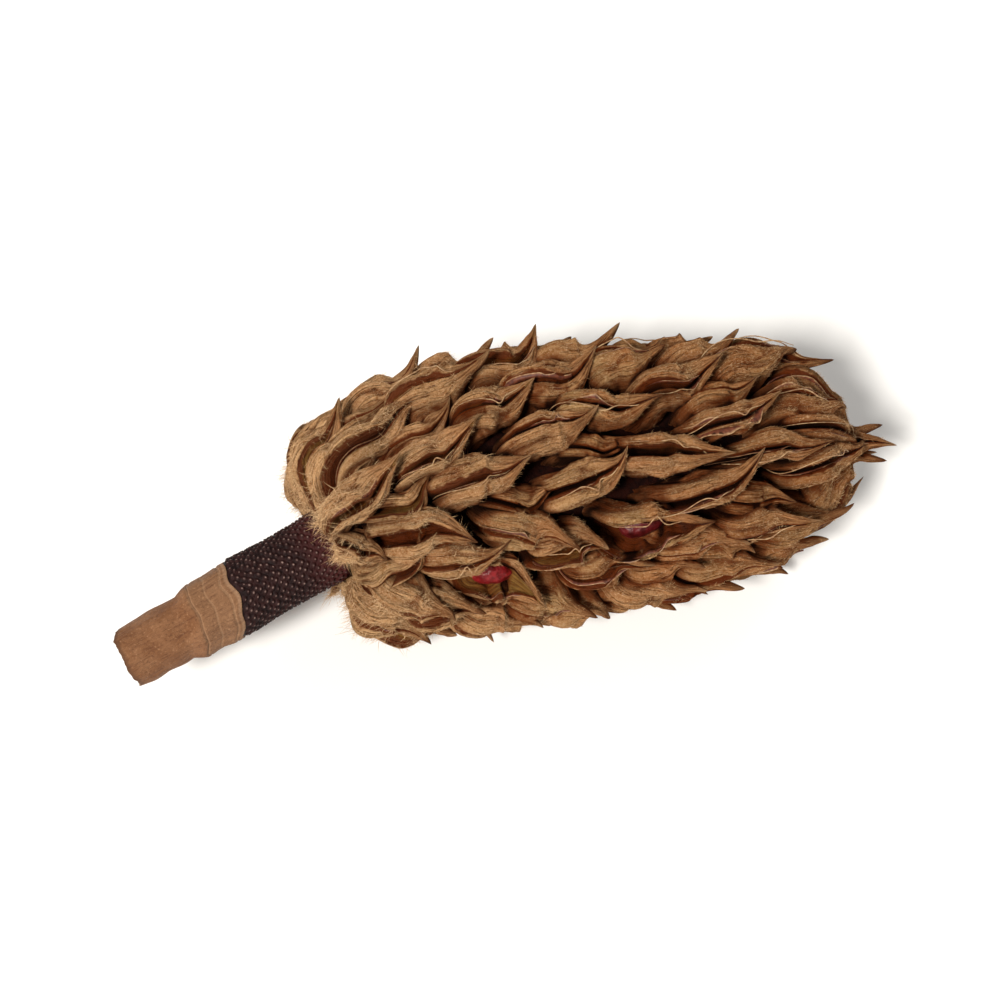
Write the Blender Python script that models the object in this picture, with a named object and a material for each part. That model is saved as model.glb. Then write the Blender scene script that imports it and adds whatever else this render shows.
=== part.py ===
"""Dried seed pod of an evergreen magnolia, lying on its side.

The pod grew along one bent centreline. A place on it is given by s, the distance
along that line: 0 where the head of follicles meets the dark collar of stamen scars,
negative down the stem and positive towards the tip. Round the line, the angle theta is
0 towards the pod's left side and 90 degrees on top. All sizes are in metres.
"""

import math
import random

import bmesh
import bpy
from mathutils import Vector

# Driving dimensions
HEAD_END = 0.0825  # where the envelope of the follicles closes
HEAD_RADIUS = 0.0210  # envelope of the follicle bodies at its widest
WIDEST_AT = 0.034
BASE_BLUNTNESS, TIP_BLUNTNESS = 6.0, 4.4
COLLAR_LENGTH = 0.0180
COLLAR_RADIUS = 0.0063
STEM_LENGTH = 0.0185
STEM_RADIUS = 0.0048
NODE_RADIUS = 0.0058  # swollen ring where the stem meets the collar
REST_HEIGHT = 0.0217  # centreline above the surface that the pod lies on
JOINT_GAP = 0.0003  # clearance between neighbouring pieces

# Bend of the centreline
STEM_HEADING = math.radians(16)
TIP_HEADING = math.radians(-7)
BEND_LENGTH = 0.045  # stretch of the head in which the line turns
STEM_DROOP = math.radians(5)
LINE_STEP = 0.0005

# Core that the follicles grow from
CORE_RADIUS = 0.0136
CORE_BASE_RADIUS = 0.0061
CORE_END = 0.074
CORE_RINGS = 12
CORE_SIDES = 14

# Follicles
FOLLICLES = 96
GOLDEN_ANGLE = math.radians(137.508)
SEED = 11
ROOT_SINK = 0.0022
FIRST_ROOT, LAST_ROOT = 0.0015, 0.070  # reach of the husks' roots along the core
BASE_BEHIND, MID_BEHIND, TIP_BEHIND = 0.38, 0.34, 0.42  # share of a husk's length behind its middle
AHEAD, BASE_AHEAD = 0.55, 0.22  # share of a husk's length ahead of its middle
BASE_RISE, MID_RISE, TIP_RISE = 0.32, 0.28, 0.42  # where a husk has risen to the envelope
BASE_LENGTH, MID_LENGTH, TIP_LENGTH = 0.0130, 0.0150, 0.0200
BASE_WIDTH, MID_WIDTH, TIP_WIDTH = 0.0033, 0.0035, 0.0029  # half widths
BODY_HEIGHT = 0.0074
BEAK_START = 0.62
SLIT_DEPTH = 0.62  # share of the husk's height
THINNEST = 0.0016  # nearest that a husk's centre comes to the centreline
BASE_BEAK, MID_BEAK, TIP_BEAK = 0.0036, 0.0034, 0.0014  # how far beaks curl outwards
RING_STATIONS = (0.0, 0.25, 0.53, 0.81)

# Seeds left in two open follicles: (s, theta) of the follicle that holds each
SEED_PLACES = ((0.027, math.radians(160)), (0.047, math.radians(128)))
SEED_AT = 0.42  # where along the husk the seed lies
SEED_SINK = 0.02  # seed's middle above the husk's, as a share of its height
SEED_SIZE = Vector((0.0037, 0.0021, 0.0019))  # half sizes: along, across, deep
SEED_ROOM = 0.00036  # clearance round a seed in its husk
HOLDER_OPEN, HOLDER_WIDTH = 0.55, MID_WIDTH * 1.25

# Stamen scars on the collar
SCARS_ROUND = 26
SCAR_ROWS = 25
SCAR_HEIGHT = 0.0005
COLLAR_WAIST = 0.05  # share by which the collar narrows in its middle
COLLAR_ROOM = 0.0012  # how far the husks stay clear round the collar

# Stem
STEM_SIDES, STEM_ROWS = SCARS_ROUND, 18
RING_SCAR_DEPTH = 0.00022
RIB_HEIGHT = 0.00010

SHARP_ANGLE = math.radians(40)

COLOURS = {
    "felt": ((0.30, 0.19, 0.10), 0.95),
    "scars": ((0.045, 0.025, 0.022), 0.6),
    "wood": ((0.26, 0.15, 0.08), 0.8),
    "seed": ((0.35, 0.03, 0.02), 0.35),
}


def clamp(value, low=0.0, high=1.0):
    return min(max(value, low), high)


def mix(a, b, t):
    return a + (b - a) * t


def ease(t):
    t = clamp(t)
    return t * t * (3 - 2 * t)


def heading(s):
    """Plan angle of the centreline at s: straight in the stem, easing round in the head."""
    t = clamp(s / BEND_LENGTH)
    return mix(STEM_HEADING, TIP_HEADING, 1 - (1 - t) ** 2)


def direction(s):
    pitch = STEM_DROOP * (1 - ease((s + 0.01) / 0.03))
    turn = heading(s)
    return Vector((math.cos(turn) * math.cos(pitch), math.sin(turn) * math.cos(pitch), math.sin(pitch)))


def walk_line(sign, length):
    """Points of the centreline every LINE_STEP from s = 0, forwards or backwards."""
    points = [Vector((0, 0, REST_HEIGHT))]
    for i in range(round(length / LINE_STEP) + 1):
        points.append(points[-1] + direction(sign * (i + 0.5) * LINE_STEP) * sign * LINE_STEP)
    return points


FORWARD_LINE = walk_line(1, 0.12)
BACKWARD_LINE = walk_line(-1, 0.05)


def centre(s):
    line = FORWARD_LINE if s >= 0 else BACKWARD_LINE
    at = min(abs(s) / LINE_STEP, len(line) - 1.001)
    return line[int(at)].lerp(line[int(at) + 1], at - int(at))


def place(s, radius, theta):
    """Point at this distance from the centreline and this angle round it."""
    ahead = direction(s)
    left = Vector((-ahead.y, ahead.x, 0)).normalized()
    up = ahead.cross(left)
    return centre(s) + (left * math.cos(theta) + up * math.sin(theta)) * radius


def rounded(t, power):
    return math.sqrt(max(0.0, 1 - t**power))


def envelope(s):
    """Radius of the surface that the follicle bodies reach: blunt base, long belly, rounded tip."""
    if s < WIDEST_AT:
        t = clamp((WIDEST_AT - s) / (WIDEST_AT + 0.001))
        return mix(COLLAR_RADIUS, HEAD_RADIUS, rounded(t, BASE_BLUNTNESS))
    t = clamp((s - WIDEST_AT) / (HEAD_END - WIDEST_AT))
    return HEAD_RADIUS * rounded(t, TIP_BLUNTNESS)


def core_radius(s):
    if s < WIDEST_AT:
        return mix(CORE_BASE_RADIUS, CORE_RADIUS, rounded((WIDEST_AT - s) / WIDEST_AT, 2.4))
    return CORE_RADIUS * rounded(clamp((s - WIDEST_AT) / (CORE_END - WIDEST_AT)), 2.6)


def spread_middles(count):
    """Places along the centreline that share the envelope's area out evenly."""
    step = 0.00005
    total, sums = 0.0, []
    for i in range(round(HEAD_END / step)):
        low, high = envelope(i * step), envelope((i + 1) * step)
        total += (low + high) * math.hypot(high - low, step)
        sums.append(total)
    middles, i = [], 0
    for n in range(count):
        while sums[i] < total * (n + 0.5) / count:
            i += 1
        middles.append((i + 0.5) * step)
    return middles


def by_place(base, mid, tip, s):
    """A size that changes along the head: base, middle and tip values."""
    if s < 0.02:
        return mix(base, mid, ease(s / 0.02))
    return mix(mid, tip, ease((s - 0.034) / 0.036))


class Follicle:
    """One follicle: a boat-shaped husk with a slit along its outer face and a beak at its end."""

    def __init__(self, number, middle, draw):
        self.theta = number * GOLDEN_ANGLE + draw.uniform(-0.13, 0.13)
        self.middle = middle + draw.uniform(-0.0016, 0.0016)
        self.length = by_place(BASE_LENGTH, MID_LENGTH, TIP_LENGTH, middle) * draw.uniform(0.86, 1.14)
        self.width = by_place(BASE_WIDTH, MID_WIDTH, TIP_WIDTH, middle) * draw.uniform(0.84, 1.12)
        self.height = BODY_HEIGHT * draw.uniform(0.88, 1.12)
        self.lean = draw.uniform(-0.22, 0.22)  # how far the tip strays round the head
        self.roll = draw.uniform(-0.75, 0.30)
        self.open = draw.uniform(0.10, 0.42) ** 1.1
        self.lift = draw.uniform(-0.0010, 0.0008)
        self.beak_out = by_place(BASE_BEAK, MID_BEAK, TIP_BEAK, middle) * draw.uniform(0.5, 1.4)
        self.beak_side = draw.uniform(-0.0040, 0.0024)
        self.slit_side = draw.uniform(-0.25, 0.45)
        behind = by_place(BASE_BEHIND, MID_BEHIND, TIP_BEHIND, middle)
        self.start = clamp(self.middle - behind * self.length, FIRST_ROOT, LAST_ROOT)
        self.rise = by_place(BASE_RISE, MID_RISE, TIP_RISE, middle)
        ahead = mix(BASE_AHEAD, AHEAD, ease(middle / 0.005))  # the lowest husks stand straight out
        self.end = max(self.middle, 0.002) + ahead * self.length

    def spine(self, u):
        """Centre of the husk at u, from 0 at the root to 1 at the beak's point."""
        s = mix(self.start, self.end, u ** mix(1.6, 1.1, clamp(self.middle / 0.03)))
        straight = mix(s, self.middle, 0.5 if s > self.middle else 0)
        root = core_radius(self.start) - ROOT_SINK
        body = max(envelope(straight) - 0.5 * self.tall(u) + self.lift, THINNEST)
        radius = mix(root, body, ease(u / self.rise))
        beak = clamp((u - BEAK_START) / (1 - BEAK_START)) ** 1.5
        radius += self.beak_out * beak
        theta = self.theta + self.lean * (u - 0.4) + self.beak_side * beak / max(radius, 0.006)
        return place(s, radius, theta)

    def wide(self, u):
        body = 0.62 + 0.38 * math.sin(math.pi * clamp(u / 0.84)) ** 0.7
        shoulder = 1 - 0.60 * ease((u - 0.58) / 0.30)
        point = 1 - 0.5 * ease((u - 0.84) / 0.16)
        return self.width * body * shoulder * point

    def tall(self, u):
        body = 0.72 + 0.28 * math.sin(math.pi * clamp(u / 0.8))
        return self.height * body * (1 - 0.76 * ease((u - 0.52) / 0.30))

    def gap(self, u):
        """Half the slit's width as a share of the half width."""
        return self.open * math.sin(math.pi * clamp((u - 0.05) / 0.80)) ** 0.6 + 0.05

    def depth(self, u):
        """Depth of the slit as a share of the height."""
        return SLIT_DEPTH * math.sin(math.pi * clamp((u - 0.04) / 0.86)) ** 0.5

    def frame(self, u):
        """The husk's directions at u: along it, across it and outwards."""
        step = 0.10
        here, along = self.spine(u), self.spine(min(u + step, 1)) - self.spine(max(u - step, 0))
        along.normalize()
        out = here - centre(mix(self.start, self.end, u))
        across = along.cross(out).normalized()
        out = across.cross(along)
        turn = self.roll * ease(u / 0.8)
        rolled = across * math.cos(turn) + out * math.sin(turn)
        return here, rolled, out * math.cos(turn) - across * math.sin(turn)

    def ring(self, u):
        """Seven points round the husk: keel, flanks, lips and the bottom of the slit."""
        here, across, out = self.frame(u)
        w, h = self.wide(u), self.tall(u)
        gap, depth = self.gap(u), self.depth(u)
        side = self.slit_side * (1 - gap)
        shape = (
            (0.50, -0.48),
            (1.0, 0.06),
            (mix(0.55, gap, 0.5) + side * 0.5, 0.50),
            (side, 0.50 - depth),
            (mix(-0.55, -gap, 0.5) + side * 0.5, 0.50),
            (-1.0, 0.06),
            (-0.50, -0.48),
        )
        return [here + across * (a * w) + out * (b * h) for a, b in shape]


def grow_follicles():
    draw = random.Random(SEED)
    return [Follicle(i, middle, draw) for i, middle in enumerate(spread_middles(FOLLICLES))]


def seed_holders(follicles):
    """The follicle nearest each seed's place, opened wide round it."""
    holders = []
    for s, theta in SEED_PLACES:
        turn = [math.remainder(f.theta - theta, math.tau) * HEAD_RADIUS for f in follicles]
        near = [math.hypot(f.middle - s, t) for f, t in zip(follicles, turn)]
        holder = follicles[near.index(min(near))]
        holder.open, holder.roll, holder.slit_side = HOLDER_OPEN, 0.0, 0.0
        holder.width = max(holder.width, HOLDER_WIDTH)
        holders.append(holder)
    return holders


def make_collection(name):
    collection = bpy.data.collections.new(name)
    bpy.context.scene.collection.children.link(collection)
    return collection


def make_material(name):
    colour, roughness = COLOURS[name]
    material = bpy.data.materials.new(name)
    material.use_nodes = True
    shader = material.node_tree.nodes["Principled BSDF"]
    shader.inputs["Base Color"].default_value = (*colour, 1)
    shader.inputs["Roughness"].default_value = roughness
    shader.inputs["Metallic"].default_value = 0
    return material


def add_object(name, mesh, collection, material=None):
    made = bpy.data.objects.new(name, mesh)
    collection.objects.link(made)
    if material:
        mesh.materials.clear()
        mesh.materials.append(material)
    return made


def loft(name, rings, point=None):
    """Closed mesh through rings of equal count, ending in a face or in a point."""
    shape = bmesh.new()
    rows = [[shape.verts.new(p) for p in ring] for ring in rings]
    count = len(rows[0])
    for low, high in zip(rows, rows[1:]):
        for i in range(count):
            j = (i + 1) % count
            shape.faces.new((low[i], low[j], high[j], high[i]))
    shape.faces.new(rows[0])
    if point is None:
        shape.faces.new(rows[-1])
    else:
        end = shape.verts.new(point)
        for i in range(count):
            shape.faces.new((rows[-1][i], rows[-1][(i + 1) % count], end))
    bmesh.ops.recalc_face_normals(shape, faces=shape.faces)
    bmesh.ops.triangulate(shape, faces=shape.faces)
    mesh = bpy.data.meshes.new(name)
    shape.to_mesh(mesh)
    shape.free()
    return mesh


def circle(s, radius, sides):
    return [place(s, radius, math.tau * i / sides) for i in range(sides)]


def add_boolean(target, operation, collection, solver="EXACT"):
    cut = target.modifiers.new(operation.title(), "BOOLEAN")
    cut.operation = operation
    cut.operand_type = "COLLECTION"
    cut.collection = collection
    cut.solver = solver


def apply_modifiers(target):
    graph = bpy.context.evaluated_depsgraph_get()
    mesh = bpy.data.meshes.new_from_object(target.evaluated_get(graph))
    target.modifiers.clear()
    target.data = mesh


def empty_out(collection):
    for used in list(collection.objects):
        bpy.data.objects.remove(used)
    bpy.data.collections.remove(collection)


def keep_outer_skin(mesh):
    """Drops what a union leaves inside the body: every shell but the one with the most volume."""
    shape = bmesh.new()
    shape.from_mesh(mesh)
    bmesh.ops.triangulate(shape, faces=shape.faces)
    left, shells = set(shape.faces), []
    while left:
        shell, edge = [], [left.pop()]
        while edge:
            face = edge.pop()
            shell.append(face)
            for near in {f for e in face.edges for f in e.link_faces} & left:
                left.remove(near)
                edge.append(near)
        shells.append(shell)
    volumes = []
    for shell in shells:
        corners = [[v.co for v in face.verts] for face in shell]
        volumes.append(sum(a.dot(b.cross(c)) for a, b, c in corners))
    largest = volumes.index(max(volumes))
    inner = [face for n, shell in enumerate(shells) if n != largest for face in shell]
    bmesh.ops.delete(shape, geom=inner, context="FACES")
    shape.to_mesh(mesh)
    shape.free()


def make_head(follicles, cutters, collection):
    """Core and follicles grown into one body, cut clear of collar, seeds and ground."""
    rings = [
        circle(s, core_radius(s), CORE_SIDES)
        for s in [mix(JOINT_GAP, CORE_END - 0.002, i / CORE_RINGS) for i in range(CORE_RINGS + 1)]
    ]
    core = loft("core", rings, place(CORE_END, 0, 0))
    head = add_object("follicle_head", core, collection, make_material("felt"))
    husks = make_collection("husks")
    for number, follicle in enumerate(follicles):
        rings = [follicle.ring(u) for u in RING_STATIONS]
        name = f"husk_{number}"
        add_object(name, loft(name, rings, follicle.spine(1.0)), husks)
    add_boolean(head, "UNION", husks, "MANIFOLD")
    apply_modifiers(head)
    empty_out(husks)
    add_boolean(head, "DIFFERENCE", cutters, "MANIFOLD")
    apply_modifiers(head)
    keep_outer_skin(head.data)
    return head


def add_cutters(collection, holders):
    """Ground below the pod, room for the collar, and a pocket round each seed."""
    bpy.ops.mesh.primitive_cube_add(size=0.2, location=(0.03, 0, -0.1))
    ground = bpy.context.object
    ground.name = "ground"
    cutters = [ground]
    radius = COLLAR_RADIUS + COLLAR_ROOM
    room = loft("collar_room", [circle(s, radius, CORE_SIDES) for s in (-COLLAR_LENGTH, 0)])
    cutters.append(add_object("collar_room", room, collection))
    for number, holder in enumerate(holders, 1):
        cutters.append(add_seed(f"pocket_{number}", holder, SEED_ROOM, collection, None))
    for cutter in cutters:
        for old in cutter.users_collection:
            old.objects.unlink(cutter)
        collection.objects.link(cutter)
        cutter.hide_render = True
        cutter.display_type = "WIRE"


def add_seed(name, holder, extra, collection, material):
    """Shrunken seed lying in the slit of the follicle that holds it."""
    shape = bmesh.new()
    bmesh.ops.create_uvsphere(shape, u_segments=12, v_segments=8, radius=1)
    mesh = bpy.data.meshes.new(name)
    here, across, out = holder.frame(SEED_AT)
    along = out.cross(across)
    for vert in shape.verts:
        x, y, z = vert.co
        pinch = 1 - 0.18 * x
        vert.co = (
            here
            + out * (SEED_SINK * holder.height)
            + along * (x * (SEED_SIZE.x + extra))
            + across * (y * (SEED_SIZE.y + extra) * pinch)
            + out * (z * (SEED_SIZE.z + extra) * pinch)
        )
    shape.normal_update()
    bmesh.ops.recalc_face_normals(shape, faces=shape.faces)
    shape.to_mesh(mesh)
    shape.free()
    return add_object(name, mesh, collection, material)


def collar_edge(theta):
    """Ragged slanted line where the dark collar gives way to the woody stem."""
    slant = 0.0013 * math.cos(theta - math.radians(35))
    return -COLLAR_LENGTH + slant + 0.0004 * math.sin(3 * theta + 1) + 0.00025 * math.sin(7 * theta)


def make_collar(collection):
    """Band of stamen scars: a net of diamonds round a slightly waisted shaft, each raised to a dot."""
    shape = bmesh.new()
    rings = []
    for row in range(SCAR_ROWS + 1):
        t = row / SCAR_ROWS
        shaft = COLLAR_RADIUS * (1 - COLLAR_WAIST * math.sin(math.pi * t)) - SCAR_HEIGHT
        ring = []
        for i in range(SCARS_ROUND):
            theta = math.tau * (i + 0.5 * (row % 2)) / SCARS_ROUND
            ring.append(shape.verts.new(place(mix(collar_edge(theta), -JOINT_GAP, t), shaft, theta)))
        rings.append(ring)
    diamonds = []
    for row in range(1, SCAR_ROWS):
        for i in range(SCARS_ROUND):
            j, k = (i + 1) % SCARS_ROUND, (i + row % 2) % SCARS_ROUND
            corners = (rings[row][i], rings[row - 1][k], rings[row][j], rings[row + 1][k])
            diamonds.append(shape.faces.new(corners))
    for row, near, s in ((0, 1, -COLLAR_LENGTH), (SCAR_ROWS, SCAR_ROWS - 1, -JOINT_GAP)):
        middle = shape.verts.new(place(s, 0, 0))
        for i in range(SCARS_ROUND):
            j, k = (i + 1) % SCARS_ROUND, (i + row % 2) % SCARS_ROUND
            shape.faces.new((rings[row][i], rings[row][j], rings[near][k]))
            shape.faces.new((rings[row][i], rings[row][j], middle))
    bmesh.ops.recalc_face_normals(shape, faces=shape.faces)
    bmesh.ops.poke(shape, faces=diamonds, offset=SCAR_HEIGHT)
    mesh = bpy.data.meshes.new("collar")
    shape.to_mesh(mesh)
    shape.free()
    return add_object("stamen_scar_collar", mesh, collection, make_material("scars"))


def stem_radius(t):
    """Radius along the stem, from t = 0 at the cut end to 1 at the collar."""
    node = NODE_RADIUS * (1 - 0.10 * ease((t - 0.80) / 0.20))
    shaft = STEM_RADIUS * (1 + 0.03 * math.sin(5 * t))
    return mix(shaft, node, ease((t - 0.50) / 0.16))


def make_stem(collection):
    """Woody stalk, cut off roughly, with a swollen node and its ring scars under the collar."""
    end = -COLLAR_LENGTH - STEM_LENGTH
    rings = []
    for row in range(STEM_ROWS + 1):
        t = row / STEM_ROWS
        ring = []
        for i in range(STEM_SIDES):
            theta = math.tau * i / STEM_SIDES
            cut = end + 0.0007 * math.sin(theta + 2.4) + 0.0003 * math.sin(4 * theta)
            s = mix(cut, collar_edge(theta) - JOINT_GAP, t)
            groove = RING_SCAR_DEPTH * max(0, math.cos((t - 0.66) * 60)) * (t > 0.60)
            rib = RIB_HEIGHT * math.sin(5 * theta + 3 * t)
            ring.append(place(s, stem_radius(t) - groove + rib, theta))
        rings.append(ring)
    top = place(-COLLAR_LENGTH - JOINT_GAP, 0, 0)
    return add_object("woody_stem", loft("stem", rings, top), collection, make_material("wood"))


def move_to_origin(parts):
    """Puts the middle of the whole pod's footprint over the origin, with the rest flats at z = 0."""
    corners = [v.co for part in parts for v in part.data.vertices]
    low = Vector([min(c[k] for c in corners) for k in range(3)])
    high = Vector([max(c[k] for c in corners) for k in range(3)])
    pod = bpy.data.objects.new("pod", None)
    bpy.context.scene.collection.objects.link(pod)
    pod.location = (-(low.x + high.x) / 2, -(low.y + high.y) / 2, 0)
    for part in parts:
        part.parent = pod


def main():
    for old in list(bpy.data.objects):
        bpy.data.objects.remove(old)
    parts = make_collection("magnolia_seed_pod")
    cutters = make_collection("cutters")
    cutters.hide_render = True
    follicles = grow_follicles()
    holders = seed_holders(follicles)
    add_cutters(cutters, holders)
    head = make_head(follicles, cutters, parts)
    empty_out(cutters)
    pieces = [head, make_collar(parts), make_stem(parts)]
    red = make_material("seed")
    for number, holder in enumerate(holders, 1):
        pieces.append(add_seed(f"seed_{number}", holder, 0.0, parts, red))
    for piece in pieces:
        piece.data.shade_smooth()
        piece.data.set_sharp_from_angle(angle=SHARP_ANGLE)
    move_to_origin(pieces)


main()
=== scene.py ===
"""Looks of a dried magnolia seed pod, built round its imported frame.

The fine pieces follow the same centreline and the same seeded follicles as the solids,
with more points in every section. A place on the pod is given by s, the distance along
its bent centreline (0 where the head meets the collar, negative down the stem), a
distance from that line, and the angle theta round it (0 on the left, 90 degrees on top).
All sizes are in metres.
"""

import math
import random

import bpy
import numpy as np
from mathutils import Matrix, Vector, noise
from mathutils.bvhtree import BVHTree


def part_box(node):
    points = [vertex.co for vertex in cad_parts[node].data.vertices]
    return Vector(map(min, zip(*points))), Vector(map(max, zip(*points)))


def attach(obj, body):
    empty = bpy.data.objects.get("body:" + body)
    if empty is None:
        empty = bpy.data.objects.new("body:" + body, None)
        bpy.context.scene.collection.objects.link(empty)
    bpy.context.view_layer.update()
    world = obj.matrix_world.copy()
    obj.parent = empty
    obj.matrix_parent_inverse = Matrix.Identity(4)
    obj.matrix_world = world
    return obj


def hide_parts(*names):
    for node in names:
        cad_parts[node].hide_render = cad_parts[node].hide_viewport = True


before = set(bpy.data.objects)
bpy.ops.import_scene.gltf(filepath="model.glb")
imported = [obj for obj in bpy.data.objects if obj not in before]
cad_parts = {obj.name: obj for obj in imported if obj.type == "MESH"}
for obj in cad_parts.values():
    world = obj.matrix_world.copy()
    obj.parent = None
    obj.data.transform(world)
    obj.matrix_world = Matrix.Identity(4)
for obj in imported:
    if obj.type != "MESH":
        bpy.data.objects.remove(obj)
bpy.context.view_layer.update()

MM = 0.001

# Sizes shared with the solids
HEAD_END = 0.0825
HEAD_RADIUS = 0.0210
WIDEST_AT = 0.034
BASE_BLUNTNESS, TIP_BLUNTNESS = 6.0, 4.4
COLLAR_LENGTH = 0.0180
COLLAR_RADIUS = 0.0063
COLLAR_WAIST = 0.05
STEM_LENGTH = 0.0185
STEM_RADIUS = 0.0048
NODE_RADIUS = 0.0058
REST_HEIGHT = 0.0217
STEM_HEADING = math.radians(16)
TIP_HEADING = math.radians(-7)
BEND_LENGTH = 0.045  # stretch of the head in which the line turns
STEM_DROOP = math.radians(5)
LINE_STEP = 0.0005
CORE_RADIUS = 0.0136
CORE_BASE_RADIUS = 0.0061
CORE_END = 0.074
FOLLICLES = 96
GOLDEN_ANGLE = math.radians(137.508)
SEED = 11
ROOT_SINK = 0.0022
FIRST_ROOT, LAST_ROOT = 0.0015, 0.070
AHEAD, BASE_AHEAD = 0.55, 0.22
BODY_HEIGHT = 0.0074
BEAK_START = 0.62
SLIT_DEPTH = 0.62
THINNEST = 0.0016
MID_FROM = 0.02  # from here to WIDEST_AT a size has its middle value
TIP_SPREAD = 0.036  # stretch over which it then turns into the tip's
# Values at the head's base, middle and tip
BEHIND = (0.38, 0.34, 0.42)
RISES = (0.32, 0.28, 0.42)
LENGTHS = (0.0130, 0.0150, 0.0200)
WIDTHS = (0.0033, 0.0035, 0.0029)
BEAKS = (0.0036, 0.0034, 0.0014)

SEED_PLACES = ((0.027, math.radians(160)), (0.047, math.radians(128)))  # s and theta
SEED_AT = 0.42
SEED_SINK = 0.02
SEED_SIZE = Vector((0.0037, 0.0021, 0.0019))
HOLDER_OPEN, HOLDER_WIDTH = 0.55, WIDTHS[1] * 1.25
JOINT_GAP = 0.0003
SCARS_ROUND, SCAR_ROWS = 26, 25
SCAR_HEIGHT = 0.0005
RING_SCAR_DEPTH = 0.00030
RING_SCARS = ((0.665, 1.0), (0.80, 0.35), (0.945, 0.75))  # place along the stem and strength
SOLID_STEM_ROWS = 18

# Finer make
STATIONS = 48  # sections along a follicle
DETAIL_SEED = 5
PRESS = 0.0007  # how softly the underside gives way where it meets the surface
CROWD_REACH = 0.010  # how near another husk has to be to shade a place
# The core's skin is coloured near black as painted shade at the bottom of the gaps.
CORE_SKIN = 0.97  # radius of the dark skin in the gaps, as a share of the core's
QUICK_RAYS, RAYS = 5, 14  # rays sent out from a place to tell how hemmed in it is
SCAR_SPOT = 0.00052  # radius of one scar on the collar
SPLINTER = 0.0010  # length of the sliver left at the stem's cut end
SPLINTER_AT, CUT_BULGE_AT = 196, 115  # degrees round the stem
CUT_BULGE = 0.0009  # how far the middle of the cut stands out, seen from above
LIP_FLARE = 0.00085  # how far the bark's lip widens to meet the collar
STEM_REACH = 1.0125  # how far the lip runs on over the joint, as a share of the stem
FLAPS = 37  # most undeveloped follicles put between the others
FLAP_LEAST = 0.0028  # depth of a gap that still takes one
FLAP_APART = 0.0043
FLAP_RANGE = (0.007, 0.074)  # stretch of the head where gaps are looked for
LOOK_FROM, GAP_DEEPEST = 0.006, 0.0075  # height above the husks, and the deepest that counts
SEED_CLEAR = 0.0085  # distance from a seed within which none is put
TORN, TORN_SLIT = 0.22, -0.3  # height left of the lip that would hide the first seed, and its slit's turn
BENT_ASIDE = 22  # follicle whose beak is bent up, clear of the first seed
BENT_ROUND, BENT_IN = -3.2 * MM, -1.8 * MM
RIM, LIP = 9, 10  # corners of the half section that threads and edges start from
THREADS = 24
BARE_OF_THREADS = 18  # follicles by the collar, which carry none
VELVET_HAIRS, WOOL_HAIRS = 125000, 16000  # short ones on each half of the head, and long ones
VELVET_LENGTH, WOOL_LENGTH = (0.30, 0.95), (0.6, 1.3)  # in millimetres, as the next two lines
VELVET_HALF, WOOL_HALF = (0.018, 0.036), (0.020, 0.034)  # half the width at the root
VELVET_SUNK, WOOL_SUNK = 0.03, 0.05  # how deep they stand in the skin

# Scene: name, place, size and power of each light, and how the camera looks at the pod
LIGHTS = (
    ("key", (-1.10, -1.15, 1.95), 0.45, 81.0),
    ("fill", (1.30, 1.40, 1.60), 1.60, 17.0),
)
LIGHT_COLOUR = (1.0, 0.965, 0.91)
ROOM_COLOUR, ROOM_LIGHT = (1.0, 0.985, 0.96, 1), 0.30
FLOOR_SIZE = 6.0
CAMERA_AZIMUTH, CAMERA_ELEVATION = math.radians(-15), math.radians(60)
CAMERA_DISTANCE, CAMERA_LENS = 0.36, 80
CAMERA_TARGET = Vector((0.0, 0.0, 0.020))


def clamp(value, low=0.0, high=1.0):
    return min(max(value, low), high)


def mix(a, b, t):
    return a + (b - a) * t


def ease(t):
    t = clamp(t)
    return t * t * (3 - 2 * t)


def heading(s):
    t = clamp(s / BEND_LENGTH)
    return mix(STEM_HEADING, TIP_HEADING, 1 - (1 - t) ** 2)


def direction(s):
    pitch = STEM_DROOP * (1 - ease((s + 0.01) / 0.03))
    turn = heading(s)
    return Vector((math.cos(turn) * math.cos(pitch), math.sin(turn) * math.cos(pitch), math.sin(pitch)))


def walk_line(sign, length):
    """Points of the centreline every LINE_STEP from s = 0, forwards or backwards."""
    points = [Vector((0, 0, REST_HEIGHT))]
    for i in range(round(length / LINE_STEP) + 1):
        points.append(points[-1] + direction(sign * (i + 0.5) * LINE_STEP) * sign * LINE_STEP)
    return points


FORWARD_LINE = walk_line(1, 0.12)
BACKWARD_LINE = walk_line(-1, 0.05)


def centre(s):
    line = FORWARD_LINE if s >= 0 else BACKWARD_LINE
    at = min(abs(s) / LINE_STEP, len(line) - 1.001)
    return line[int(at)].lerp(line[int(at) + 1], at - int(at))


def place(s, radius, theta):
    """Point at this distance from the centreline and this angle round it."""
    ahead = direction(s)
    left = Vector((-ahead.y, ahead.x, 0)).normalized()
    up = ahead.cross(left)
    return centre(s) + (left * math.cos(theta) + up * math.sin(theta)) * radius


def rounded(t, power):
    return math.sqrt(max(0.0, 1 - t**power))


def envelope(s):
    """Radius of the surface that the follicle bodies reach: blunt base, long belly, rounded tip."""
    if s < WIDEST_AT:
        t = clamp((WIDEST_AT - s) / (WIDEST_AT + 0.001))
        return mix(COLLAR_RADIUS, HEAD_RADIUS, rounded(t, BASE_BLUNTNESS))
    t = clamp((s - WIDEST_AT) / (HEAD_END - WIDEST_AT))
    return HEAD_RADIUS * rounded(t, TIP_BLUNTNESS)


def core_radius(s):
    if s < WIDEST_AT:
        return mix(CORE_BASE_RADIUS, CORE_RADIUS, rounded((WIDEST_AT - s) / WIDEST_AT, 2.4))
    return CORE_RADIUS * rounded(clamp((s - WIDEST_AT) / (CORE_END - WIDEST_AT)), 2.6)


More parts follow.
